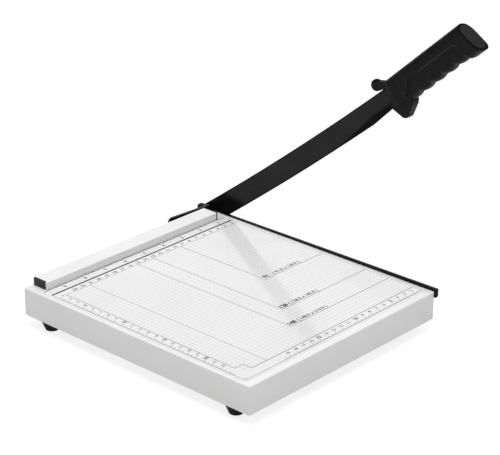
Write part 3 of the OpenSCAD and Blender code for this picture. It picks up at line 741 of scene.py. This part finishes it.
def draw_borders(bold, fine):
    """Bold line at the rear, an outer border with a round corner, and an inner one with a bare square."""
    bold.across(BAND_OUTER_X, BORDER_X, BOLD_Y, BOLD_W)
    fine.along(BAND_OUTER_X, BAND_OUTER_Y + BORDER_R, BOLD_Y, LEFT_BORDER_W)
    fine.across(BAND_OUTER_X + BORDER_R, BORDER_X, BAND_OUTER_Y, FRONT_BORDER_W)
    for step in range(CORNER_STEPS):
        angles = [math.radians(180.0 + 90.0 * end / CORNER_STEPS) for end in (step, step + 1)]
        xs = [BAND_OUTER_X + BORDER_R * (1.0 + math.cos(angle)) for angle in angles]
        ys = [BAND_OUTER_Y + BORDER_R * (1.0 + math.sin(angle)) for angle in angles]
        fine.box(min(xs) - CORNER_LINE_HALF, min(ys) - CORNER_LINE_HALF,
                 max(xs) + CORNER_LINE_HALF, max(ys) + CORNER_LINE_HALF)
    box_x = BAND_INNER_X + CORNER_BOX
    box_y = BAND_INNER_Y + CORNER_BOX
    fine.along(BAND_INNER_X, box_y, REAR_RULE_Y, INNER_BORDER_W)
    fine.across(BAND_INNER_X, box_x, box_y, INNER_BORDER_W)
    fine.along(box_x, BAND_INNER_Y, box_y, INNER_BORDER_W)
    fine.across(box_x, BORDER_X, BAND_INNER_Y, INNER_FRONT_W)
    fine.along(BORDER_X, BAND_OUTER_Y, BOLD_Y, RIGHT_BORDER_W)
    fine.across(BAND_INNER_X, BORDER_X, REAR_RULE_Y, REAR_RULE_W)


def draw_frames(bold, fine):
    """Frames for cut sizes, counted from the zero lines, each with its width and both sizes."""
    for width, length in CUT_SIZES:
        x = RULE_X - width
        y = RULE_Y - length
        fine.along(x, y, REAR_RULE_Y, FRAME_SIDE_W)
        fine.across(x, BORDER_X, y, FRAME_END_W)
        bold.figures("%d" % width, x + LABEL_AT[0], y + LABEL_AT[1], LABEL_FIGURES)
        bold.figures("( %.1f x %.1f )" % (width, length), x + SIZE_AT[0], y + SIZE_AT[1], SIZE_FIGURES)
    fine.along(RULE_X - LONG_SHEET, BAND_INNER_Y, REAR_RULE_Y, LONG_SHEET_W)


def draw_inch_ruler(bold, fine):
    """Sixteenths of an inch between the fence and the bold line."""
    fence_front = RULE_Y + FENCE_LINE_LEAD
    for sixteenth in SIXTEENTHS:
        x = RULE_X - INCH * sixteenth / 16
        if BAND_OUTER_X <= x <= BORDER_X:
            length = INCH_TICKS.get(sixteenth % 16, SHORT_INCH_TICK)
            fine.along(x, fence_front - length, fence_front, INCH_TICK_W)
    # Ruler baseline at the fence's foot in the dark ink, wide and dark as painted contact shadow under the
    # fence
    bold.across(BAND_OUTER_X, BORDER_X, fence_front, FENCE_SHADOW_LINE_W)
    for inch in INCHES:
        x = RULE_X - INCH * inch + INCH_FIGURE_AT[0]
        bold.figures("%d" % inch, x, INCH_FIGURE_AT[1], INCH_FIGURES)


def ticks(stretch, lengths):
    """Each millimetre of a stretch with the length of its tick."""
    whole, half, single = lengths
    for mm in stretch:
        yield mm, whole if mm % 10 == 0 else half if mm % 5 == 0 else single


def draw_rear_ruler(bold, fine):
    """Centimetres behind the field."""
    for mm, length in ticks(REAR_MM, REAR_TICKS):
        fine.along(RULE_X - mm, REAR_RULE_Y - length, REAR_RULE_Y, REAR_TICK_W)
    for cm in REAR_CM:
        bold.figures("%d" % cm, RULE_X - 10.0 * cm + REAR_FIGURE_AT[0], REAR_FIGURE_AT[1], REAR_FIGURES)


def draw_left_ruler(bold, fine):
    """Centimetres down the left side, every fifth figure larger."""
    for mm, length in ticks(LEFT_MM, SIDE_TICKS):
        width = FIFTH_TICK_W if mm % 5 == 0 else TICK_W
        fine.across(BAND_OUTER_X, BAND_OUTER_X + length, RULE_Y - mm, width)
    for cm in LEFT_CM:
        size = LEFT_FIFTH_FIGURES if cm % 5 == 0 else LEFT_FIGURES
        y = RULE_Y - 10.0 * cm + LEFT_FIGURE_AT[1]
        bold.figures("%d" % cm, BAND_OUTER_X + LEFT_FIGURE_AT[0], y, size)


def draw_front_ruler(bold, fine):
    """Centimetres along the front, every fifth figure larger, up to where the sheet is left bare."""
    for mm, length in ticks(FRONT_MM, SIDE_TICKS):
        width = FIFTH_TICK_W if mm % 5 == 0 else TICK_W
        fine.along(RULE_X - mm, BAND_OUTER_Y, BAND_OUTER_Y + length, width)
    for cm in FRONT_CM:
        size = FRONT_FIFTH_FIGURES if cm % 5 == 0 else FRONT_FIGURES
        x = RULE_X - 10.0 * cm + FRONT_FIGURE_AT[0]
        bold.figures("%d" % cm, x, BAND_OUTER_Y + FRONT_FIGURE_AT[1], size)


def draw_print():
    """All that is printed, as one dark and one paler piece."""
    bold = Print()
    fine = Print()
    draw_borders(bold, fine)
    draw_frames(bold, fine)
    draw_inch_ruler(bold, fine)
    draw_rear_ruler(bold, fine)
    draw_left_ruler(bold, fine)
    draw_front_ruler(bold, fine)
    bold.finish("print_bold", INK)
    fine.finish("print_fine", FINE_INK)


draw_print()


# Handle

def handle_matrix():
    """From the handle's own frame, along, up and across it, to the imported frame."""
    arm = math.radians(ARM_OPEN)
    lean = math.radians(ARM_OPEN + HANDLE_TILT)
    along = Vector((0.0, -math.cos(lean), math.sin(lean)))
    up = Vector((0.0, math.sin(lean), math.cos(lean)))
    across = Vector((-1.0, 0.0, 0.0))
    start = Vector((BLADE_MID_X + HANDLE_T / 2,
                    PIVOT_Y - HANDLE_U * math.cos(arm) + HANDLE_W * math.sin(arm),
                    PIVOT_Z + HANDLE_U * math.sin(arm) + HANDLE_W * math.cos(arm)))
    return Matrix.Translation(start) @ Matrix((along, up, across)).transposed().to_4x4()


HANDLE = handle_matrix()


def smooth_step(value, low, high):
    """0 below low, 1 above high and a smooth rise between them."""
    part = min(max((value - low) / (high - low), 0.0), 1.0)
    return part * part * (3.0 - 2.0 * part)


def grip_underside(p):
    """Depth of the grip's underside at p along it, with its finger bumps."""
    half = BUMP_PITCH / 2
    rise = GRIP_CREST - GRIP_VALLEY
    radius = (half * half + rise * rise) / (2 * rise)
    depth = GRIP_VALLEY
    for index in range(BUMP_COUNT):
        offset = p - (BUMP_FIRST + index * BUMP_PITCH)
        if abs(offset) < half:
            depth = GRIP_CREST - radius + math.sqrt(radius * radius - offset * offset)
    if p > GRIP_LAST:
        depth = GRIP_VALLEY + (GRIP_BUTT - GRIP_VALLEY) * min((p - GRIP_LAST) / (rise + 1.0), 1.0)
    return depth


def grip_section(p, narrow, steps=20):
    """Ring round the grip at p, narrower than its full width by a number on each side."""
    low = -grip_underside(p)
    half = HANDLE_T / 2 - GRIP_SIDE_GAP - narrow
    crown = 2 / CROWN_POWER
    points = []
    for step in range(steps + 1):
        angle = math.pi * step / steps
        side = math.cos(angle)
        z = math.copysign(half * abs(side) ** crown, side)
        points.append((p, RIDGE_Q + (GRIP_TOP - RIDGE_Q) * math.sin(angle) ** crown, HANDLE_T / 2 + z))
    radius = min(GRIP_R, half - 0.1)
    for centre, start in ((radius - half, 180.0), (half - radius, 270.0)):
        for step in range(steps // 2 + 1):
            angle = math.radians(start + 90.0 * step / (steps // 2))
            z = centre + radius * math.cos(angle)
            points.append((p, low + radius * (1 + math.sin(angle)), HANDLE_T / 2 + z))
    return points


def add_grip(bm):
    """The grip from its bevelled front to its slanted end."""
    rings = [grip_section(ahead - HANDLE_FRONT, narrow) for ahead, narrow in FRONT_BEVEL]
    p = 0.0
    while p < GRIP_END + GRIP_SPARE:
        rings.append(grip_section(p, 0.0))
        p += GRIP_STEP
    add_solid(bm, rings)
    slant = math.radians(END_ANGLE)
    edges = cut_away(bm, (GRIP_END, GRIP_MID, 0.0), (math.cos(slant), math.sin(slant), 0.0))
    bmesh.ops.edgeloop_fill(bm, edges=edges)


def add_slab(bm, outline, thickness, rim):
    """An outline in the handle's side view, as thick as given about the middle, with round rims."""
    z0 = (HANDLE_T - thickness) / 2
    ends = add_solid(bm, [[(p, q, z) for p, q in outline] for z in (z0, z0 + thickness)])
    rims = [edge for face in ends for edge in face.edges]
    bmesh.ops.bevel(bm, geom=rims, offset=rim, segments=4, profile=0.5, affect="EDGES", clamp_overlap=True)


def add_guard_and_horn(bm):
    """Hand guard with a round tip below the grip's front, and the horn on its neck above it."""
    tip = (GUARD_BACK, GUARD_R - GUARD_DEEP)
    chamfer = GUARD_R * GUARD_CHAMFER
    add_slab(bm, [
        (GUARD_BACK - GUARD_LEAD, GUARD_LIFT - GRIP_VALLEY),
        (tip[0] - GUARD_R, tip[1]),
        (tip[0], tip[1] - GUARD_R / 2),
        (tip[0] + chamfer, tip[1] - chamfer),
        (GUARD_REAR - GUARD_DROP / 2, -GRIP_VALLEY - GUARD_DROP),
        (GUARD_REAR, -GRIP_VALLEY - GUARD_DROP / 2),
        (GUARD_REAR, 0.0),
        (-HANDLE_FRONT, 0.0)], GUARD_T, GUARD_RIM)
    add_slab(bm, circle(tip, GUARD_R), GUARD_T, GUARD_TIP_RIM)
    add_slab(bm, circle((-HORN_REACH, HORN_UP), HORN_R), HORN_T, HORN_RIM)
    add_slab(bm, [
        (-HORN_REACH, HORN_UP - HORN_R),
        (-HANDLE_FRONT, HORN_UP - NECK_DEPTH * HORN_R),
        (NECK_IN, GRIP_TOP - NECK_LOW),
        (NECK_IN, GRIP_TOP - NECK_HIGH),
        (-HANDLE_FRONT - NECK_LEAD, GRIP_TOP - NECK_DROP),
        (-HORN_REACH, HORN_UP + HORN_R)], HORN_T, NECK_RIM)


def panel_edge_distance(p, q):
    """Distance to the grip panel's edge, positive below it."""
    best = None
    for (p0, q0), (p1, q1) in zip(PANEL, PANEL[1:]):
        run = Vector((p1 - p0, q1 - q0))
        offset = Vector((p - p0, q - q0))
        share = min(max(offset.dot(run) / run.length_squared, 0.0), 1.0)
        gap = (offset - run * share).length
        side = run.x * offset.y - run.y * offset.x
        if best is None or gap < best[0]:
            best = (gap, -1.0 if side > 0 else 1.0)
    return best[0] * best[1]


def carve_panel(mesh):
    """Sinks the grip panel into both sides and raises a ridge along its edge."""
    middle = HANDLE_T / 2
    for vert in mesh.vertices:
        p, q, z = vert.co / MM
        if q > PANEL_TOP or p < PANEL_FROM or p > PANEL_TO:
            continue
        distance = panel_edge_distance(p, q)
        if q < PANEL_OPEN:
            distance = min(p - PANEL[0][0], PANEL[-1][0] - p)
        sunk = PANEL_DEPTH * smooth_step(distance, *PANEL_STEP)
        sunk -= RIDGE_RISE * smooth_step(RIDGE_HALF - abs(distance), 0.0, RIDGE_SOFT)
        fade = smooth_step(abs(z - middle), *PANEL_FADE)
        side = 1.0 if z > middle else -1.0
        vert.co.z -= side * sunk * fade * MM


def grip_side_z(p, q):
    """Distance of the grip's side from its middle, at a place below the ridge."""
    half = HANDLE_T / 2 - GRIP_SIDE_GAP
    below = GRIP_R - grip_underside(p) - q
    if below <= 0.0:
        return half
    return half - GRIP_R + math.sqrt(max(GRIP_R * GRIP_R - below * below, 0.0))


def bead_path(steps=7):
    """Smooth path through the panel's corners along its top edge and down its rear, in the side view."""
    path = []
    corners = PANEL[BEAD_FROM:BEAD_TO]
    ends = [corners[0], *corners, corners[-1]]
    for before, first, second, after in zip(ends, ends[1:], ends[2:], ends[3:]):
        for step in range(steps):
            t = step / steps
            path.append(tuple(
                0.5 * (2 * b + (c - a) * t + (2 * a - 5 * b + 4 * c - d) * t * t
                       + (3 * b - a - 3 * c + d) * t * t * t)
                for a, b, c, d in zip(before, first, second, after)))
    return path


def panel_highlight_beads():
    """Raised bead along the panel's top edge on each side, thin at both ends, paler as a painted highlight
    on the ridge.
    """
    bm = bmesh.new()
    path = bead_path()
    last = len(path) - 1
    for side in (1, -1):
        rings = []
        for index, (p, q) in enumerate(path):
            share = index / last
            radius = BEAD_R * min(1.0, BEAD_END_SHARE + BEAD_SWELL * min(share, 1.0 - share))
            p0, q0 = path[max(index - 1, 0)]
            p1, q1 = path[min(index + 1, last)]
            across = Vector((q0 - q1, p1 - p0, 0.0)).normalized()
            centre = Vector((p, q, HANDLE_T / 2 + side * (grip_side_z(p, q) - BEAD_SINK)))
            ring = []
            for corner in range(8):
                angle = math.radians(45.0 * corner)
                outward = Vector((0.0, 0.0, side * radius * math.sin(angle)))
                ring.append(centre + across * radius * math.cos(angle) + outward)
            rings.append(ring)
        add_solid(bm, rings)
    mesh = mesh_from(bm, "panel_highlight_beads", HANDLE)
    add_piece("panel_highlight_beads", mesh, BEAD_PAINTED_HIGHLIGHT, "arm", 60.0)


def handle_mesh():
    """The whole moulding in the handle's frame, in metres."""
    bm = bmesh.new()
    add_grip(bm)
    add_guard_and_horn(bm)
    mesh = mesh_from(bm, "handle")
    holder = bpy.data.objects.new("handle_work", mesh)
    bpy.context.collection.objects.link(holder)
    remesh = holder.modifiers.new("remesh", "REMESH")
    remesh.mode = "VOXEL"
    remesh.voxel_size = HANDLE_VOXEL * MM
    smooth = holder.modifiers.new("smooth", "SMOOTH")
    smooth.factor = 0.5
    smooth.iterations = HANDLE_SMOOTHING
    result = applied(holder)
    bpy.data.objects.remove(holder)
    carve_panel(result)
    return result


def with_screw_holes(mesh):
    """The right half with its countersunk holes cut."""
    last = GRIP_END - TANG_SHORT - LAST_SCREW_INSET
    head_r = SCREW_HEAD_D / 2 + SCREW_EASE
    shank_r = SCREW_D / 2 + SCREW_EASE
    sink = (SCREW_HEAD_D - SCREW_D) / 2
    profile = ((-SCREW_OVER, head_r + SCREW_OVER), (sink, shank_r), (SCREW_DEEP, shank_r))
    bm = bmesh.new()
    for index in range(SCREW_COUNT):
        p = BUMP_FIRST + index * (last - BUMP_FIRST) / (SCREW_COUNT - 1)
        add_solid(bm, [[(x, y, z) for x, y in circle((p, 0.0), radius, 32)] for z, radius in profile])
    cutter = bpy.data.objects.new("cutter", mesh_from(bm, "cutter"))
    holder = bpy.data.objects.new("right_work", mesh)
    for item in (cutter, holder):
        bpy.context.collection.objects.link(item)
    boolean = holder.modifiers.new("holes", "BOOLEAN")
    boolean.operation = "DIFFERENCE"
    boolean.solver = "EXACT"
    boolean.object = cutter
    result = applied(holder)
    bpy.data.objects.remove(holder)
    bpy.data.objects.remove(cutter)
    return result


def handle_half(whole, name, side, node):
    """One side of the moulding, cut just off the parting plane."""
    bm = bmesh.new()
    bm.from_mesh(whole)
    parting = (HANDLE_T / 2 + side * PARTING_GAP) * MM
    edges = cut_away(bm, (0.0, 0.0, parting), (0.0, 0.0, -side))
    bmesh.ops.holes_fill(bm, edges=edges)
    mesh = mesh_from(bm, name, scale=1.0)
    if side < 0:
        mesh = with_screw_holes(mesh)
    lift = Matrix.Translation(HANDLE.translation * MM) @ HANDLE.to_3x3().to_4x4()
    mesh.transform(lift)
    piece = add_piece(name, mesh, HANDLE_PLASTIC, "arm", 60.0)
    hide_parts(node)


def end_plate():
    """Oval plate in the handle's end, with a round rim."""
    slant = math.radians(END_ANGLE)
    along = Vector((math.cos(slant), math.sin(slant), 0.0))
    up = Vector((-math.sin(slant), math.cos(slant), 0.0))
    across = Vector((0.0, 0.0, 1.0))
    start = Vector((GRIP_END, GRIP_MID, HANDLE_T / 2)) - along * END_CAP_SEAT
    turn = Matrix((up, across, along)).transposed().to_4x4()
    rings = []
    for inset, height in END_PROFILE:
        half_x = END_CAP_LEN / 2 - inset
        half_y = END_CAP_W / 2 - inset
        rings.append([(x, y, height) for x, y in round_ring(half_x, half_y, half_y - 0.01, 10)])
    bm = bmesh.new()
    add_solid(bm, rings)
    mesh = mesh_from(bm, "end_plate", HANDLE @ Matrix.Translation(start) @ turn)
    piece = add_piece("end_plate", mesh, END_PLASTIC, "arm", 50.0)
    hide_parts("handle_end_cap")


WHOLE_HANDLE = handle_mesh()
handle_half(WHOLE_HANDLE, "handle_left_shell", 1, "handle_left_half")
handle_half(WHOLE_HANDLE, "handle_right_shell", -1, "handle_right_half")
bpy.data.meshes.remove(WHOLE_HANDLE)
panel_highlight_beads()
end_plate()


# CAD nodes that stay, with their finishes

FEET = ("foot_front_left", "foot_front_right", "foot_rear_left", "foot_rear_right")
NODE_FINISHES = {
    WHITE_PAINT: ("table_stiffener", "fence_rail"),
    PRINTED_SHEET: ("scale_sheet",),
    CAP_PLASTIC: ("fence_cap_left", "fence_cap_right"),
    BLACK_PAINT: ("fixed_blade", "hinge_bracket"),
    BLADE_PAINT: ("blade_arm",),
    ZINC: ("backing_bar", "fence_screws", "fence_nuts", "fixed_blade_screws", "bracket_screws",
           "bracket_nuts", "pivot_bolt", "pivot_spacer", "pivot_washers", "pivot_spring", "pivot_nut",
           "foot_washers", "foot_screws", "foot_nuts", "handle_screws"),
    RUBBER: FEET,
}
for material, names in NODE_FINISHES.items():
    for name in names:
        for part_slot in frame["nodes"][name].material_slots:
            part_slot.material = material

ROUNDED_EDGES = {"fixed_blade": 0.25, "hinge_bracket": 0.3, **{foot: 0.7 for foot in FEET}}
for name, width in ROUNDED_EDGES.items():
    bevel = frame["nodes"][name].modifiers.new("edges", "BEVEL")
    bevel.width = width * MM
    bevel.segments = 3
    bevel.limit_method = "ANGLE"
    bevel.angle_limit = math.radians(40.0)


# Stage and light

def grey(level):
    """An opaque grey as red, green, blue and alpha."""
    return (level, level, level, 1.0)


def floor_material():
    """Pale floor that looks white and keeps the object's shadow."""
    material = bpy.data.materials.new("floor")
    material.use_nodes = True
    material.node_tree.nodes.clear()
    nodes = Nodes(material.node_tree)
    path = nodes.node("ShaderNodeLightPath").outputs
    seen = nodes.math("MAXIMUM", path["Is Camera Ray"], path["Is Glossy Ray"])
    bounce = nodes.node("ShaderNodeBsdfDiffuse", Color=grey(0.62))
    shade = nodes.node("ShaderNodeBsdfDiffuse", Color=grey(0.25))
    glow = nodes.node("ShaderNodeEmission", Strength=0.82)
    both = nodes.node("ShaderNodeAddShader")
    for socket, shader in zip(both.inputs, (shade, glow)):
        nodes.feed(socket, shader.outputs[0])
    mixed = nodes.node("ShaderNodeMixShader")
    for socket, value in zip(mixed.inputs, (seen, bounce.outputs[0], both.outputs[0])):
        nodes.feed(socket, value)
    nodes.node("ShaderNodeOutputMaterial", Surface=mixed.outputs[0])
    return material


def make_floor():
    """Large square floor."""
    corners = ((-FLOOR_HALF, -FLOOR_HALF), (FLOOR_HALF, -FLOOR_HALF), (FLOOR_HALF, FLOOR_HALF),
               (-FLOOR_HALF, FLOOR_HALF))
    mesh = bpy.data.meshes.new("floor")
    mesh.from_pydata([(x, y, 0.0) for x, y in corners], [], [(0, 1, 2, 3)])
    mesh.materials.append(floor_material())
    floor = bpy.data.objects.new("floor", mesh)
    bpy.context.collection.objects.link(floor)


def make_world():
    """White to the eye, a plain ambient light, and in reflections a white sweep in a dim room."""
    world = bpy.data.worlds.new("world")
    world.use_nodes = True
    nodes = Nodes(world.node_tree)
    background = world.node_tree.nodes["Background"]
    background.inputs["Color"].default_value = grey(1.0)
    path = nodes.node("ShaderNodeLightPath").outputs
    direction = nodes.node("ShaderNodeTexCoord").outputs["Generated"]
    height = nodes.node("ShaderNodeSeparateXYZ", Vector=direction).outputs["Z"]
    behind = nodes.node("ShaderNodeVectorMath")
    behind.operation = "DOT_PRODUCT"
    nodes.feed(behind.inputs[0], direction)
    nodes.feed(behind.inputs[1], SWEEP_TOWARDS)
    sweep_w = nodes.spread(behind.outputs["Value"], 0.0, 1.0, *SWEEP_EDGE, kind="SMOOTHSTEP")
    sweep_h = nodes.spread(height, 1.0, 0.0, *SWEEP_TOP, kind="SMOOTHSTEP")
    backdrop = nodes.mix(nodes.math("MULTIPLY", sweep_w, sweep_h), ROOM, 1.0)
    unseen = nodes.mix(path["Is Glossy Ray"], AMBIENT, backdrop)
    seen = nodes.math("MAXIMUM", path["Is Camera Ray"], path["Is Transmission Ray"])
    nodes.feed(background.inputs["Strength"], nodes.mix(seen, unseen, 1.0))
    bpy.context.scene.world = world


def make_lamp():
    """Soft lamp without a highlight, so that only the backdrop shows in glossy faces."""
    data = bpy.data.lights.new("top_light", "AREA")
    data.shape = "DISK"
    data.size = LAMP_SIZE
    data.energy = LAMP_POWER
    light = bpy.data.objects.new("top_light", data)
    light.location = LAMP_PLACE
    light.rotation_euler = (-Vector(LAMP_PLACE)).to_track_quat("-Z", "Y").to_euler()
    light.visible_glossy = False
    bpy.context.collection.objects.link(light)


make_floor()
make_world()
make_lamp()
bpy.context.scene.view_settings.view_transform = "Standard"
